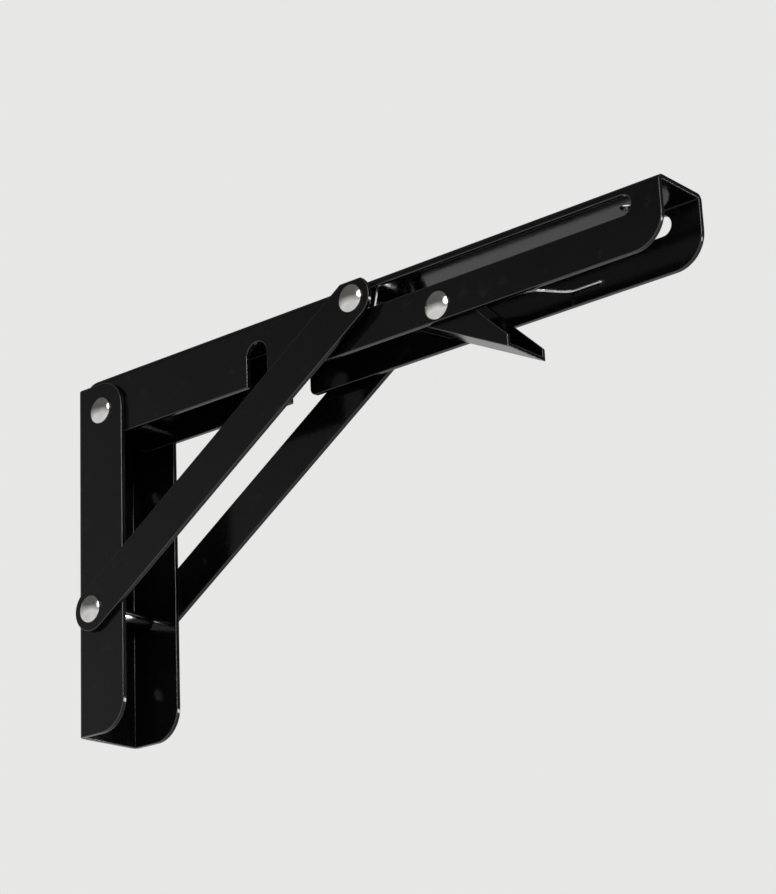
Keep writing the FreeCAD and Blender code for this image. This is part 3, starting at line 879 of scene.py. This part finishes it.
class BRACKET_OT_stage(bpy.types.Operator):
    """Lays the floor, lights the bracket and sets the camera"""

    bl_idname = "bracket.stage"
    bl_label = "Stage"

    def execute(self, context):
        stage = context.scene.bracket_stage
        self.lay_floor(stage)
        self.light_world(context.scene, stage)
        self.hang_lamps(stage)
        self.set_camera(context.scene, stage)
        context.scene.view_settings.view_transform = "Standard"
        return {"FINISHED"}

    @staticmethod
    def lay_floor(stage):
        """A pale floor that is clear from below."""
        material, bench, place = new_finish("floor")
        cloud = bench.grain(place, *FLOOR_CLOUD)
        colour = bench.mix(tone(stage.floor_tone), tone(stage.floor_tone, FLOOR_SHADE), cloud)
        matt = bench.node("ShaderNodeBsdfPrincipled", None, {
            "Base Color": colour, "Roughness": stage.floor_matt})["BSDF"]
        clear = bench.node("ShaderNodeBsdfTransparent")["BSDF"]
        under = bench.node("ShaderNodeNewGeometry")["Backfacing"]
        bench.surface(bench.node("ShaderNodeMixShader", None, {0: under, 1: matt, 2: clear})["Shader"])
        reach, level = stage.floor_reach, stage.floor_level
        corners = [(-reach, -reach), (reach, -reach), (reach, reach), (-reach, reach)]
        mesh = bpy.data.meshes.new("floor")
        mesh.from_pydata([(x, y, level) for x, y in corners], [], [(0, 1, 2, 3)])
        mesh.materials.append(material)
        link("floor", mesh)

    @staticmethod
    def light_world(scene, stage):
        """Soft light from all round, and a pale backdrop that dims where metal mirrors the room."""
        world = bpy.data.worlds.new("studio")
        world.use_nodes = True
        world.node_tree.nodes.clear()
        scene.world = world
        bench = Bench(world.node_tree)
        ray = bench.node("ShaderNodeLightPath")
        mirrored = ray["Is Glossy Ray"]
        seen = (ray["Is Camera Ray"] + mirrored + ray["Is Transmission Ray"]).within(0.0, 1.0)
        toward = bench.node("ShaderNodeSeparateXYZ", None, {
            "Vector": bench.node("ShaderNodeTexCoord")["Generated"]})
        up = toward["Z"]
        behind_eye = (0.0 - toward["Y"]).within(*ROOM_FADE)
        soft = bench.mix(tone(stage.fill_low), tone(stage.fill_high), up.within(*FILL_FADE))
        away = 1 - (1 - behind_eye) * (1 - up.within(*ABOVE_FADE) * ABOVE_SHARE)
        room = bench.mix(tone(stage.backdrop), tone(stage.backdrop, stage.room), away * mirrored)
        overhead = up.within(*CEILING_FADE) * mirrored
        shade = bench.mix(room, tone(stage.backdrop, stage.ceiling), overhead)
        backdrop = bench.node("ShaderNodeBackground", None, {"Color": shade})
        light = bench.node("ShaderNodeBackground", None, {"Color": soft, "Strength": stage.fill})
        bench.node("ShaderNodeOutputWorld", None, {
            "Surface": bench.node("ShaderNodeMixShader", None, {
                0: seen, 1: light["Background"], 2: backdrop["Background"]})["Shader"]})

    @staticmethod
    def hang_lamps(stage):
        """Three distant lamps, each as strong as the setting of its name."""
        for name, (source, breadth) in LAMPS.items():
            lamp = bpy.data.lights.new(name, "SUN")
            lamp.angle, lamp.energy = math.radians(breadth), getattr(stage, name)
            holder = link(name, lamp)
            holder.location = source
            holder.rotation_euler = Vector(source).to_track_quat("Z", "Y").to_euler()

    @staticmethod
    def set_camera(scene, stage):
        """The photograph's view: the eye low on the left, and its lens."""
        lens = bpy.data.cameras.new("camera")
        lens.sensor_fit, lens.sensor_height, lens.lens = "VERTICAL", SENSOR, stage.lens
        lens.clip_start, lens.clip_end = SIGHT_LIMITS
        eye = link("camera", lens)
        ahead = Vector(stage.sight).normalized()
        right = ahead.cross(Vector(stage.upright)).normalized()
        turn = Matrix((right, right.cross(ahead), -ahead)).transposed()
        eye.matrix_world = Matrix.Translation(Vector(stage.eye)) @ turn.to_4x4()
        scene.camera = eye


class BRACKET_PT_finish(bpy.types.Panel):
    """Sizes, finishes and steps of the bracket"""

    bl_label = "Folding Bracket"
    bl_idname = "BRACKET_PT_finish"
    bl_space_type = "VIEW_3D"
    bl_region_type = "UI"
    bl_category = "Bracket"

    def draw(self, context):
        for name in GROUPS:
            group = getattr(context.scene, name)
            box = self.layout.box()
            for setting in group.__annotations__:
                box.prop(group, setting)
        for step in STEPS:
            self.layout.operator(step.bl_idname)


GROUPS = {
    "bracket_sheet": SheetSettings, "bracket_rivets": RivetSettings,
    "bracket_spring": SpringSettings, "bracket_stage": StageSettings}
STEPS = (
    BRACKET_OT_wall_channel, BRACKET_OT_shelf_arm, BRACKET_OT_struts, BRACKET_OT_release_lever,
    BRACKET_OT_rivets, BRACKET_OT_slide_pin, BRACKET_OT_lever_spring, BRACKET_OT_stage)
CLASSES = (*GROUPS.values(), *STEPS, BRACKET_PT_finish)


def register():
    for kind in CLASSES:
        bpy.utils.register_class(kind)
    for name, group in GROUPS.items():
        setattr(bpy.types.Scene, name, PointerProperty(type=group))


def unregister():
    for name in GROUPS:
        delattr(bpy.types.Scene, name)
    for kind in reversed(CLASSES):
        bpy.utils.unregister_class(kind)


def main():
    register()
    bpy.ops.bracket.wall_channel()
    bpy.ops.bracket.shelf_arm()
    bpy.ops.bracket.struts()
    bpy.ops.bracket.release_lever()
    bpy.ops.bracket.rivets()
    bpy.ops.bracket.slide_pin()
    bpy.ops.bracket.lever_spring()
    bpy.ops.bracket.stage()


if __name__ == "__main__":
    main()
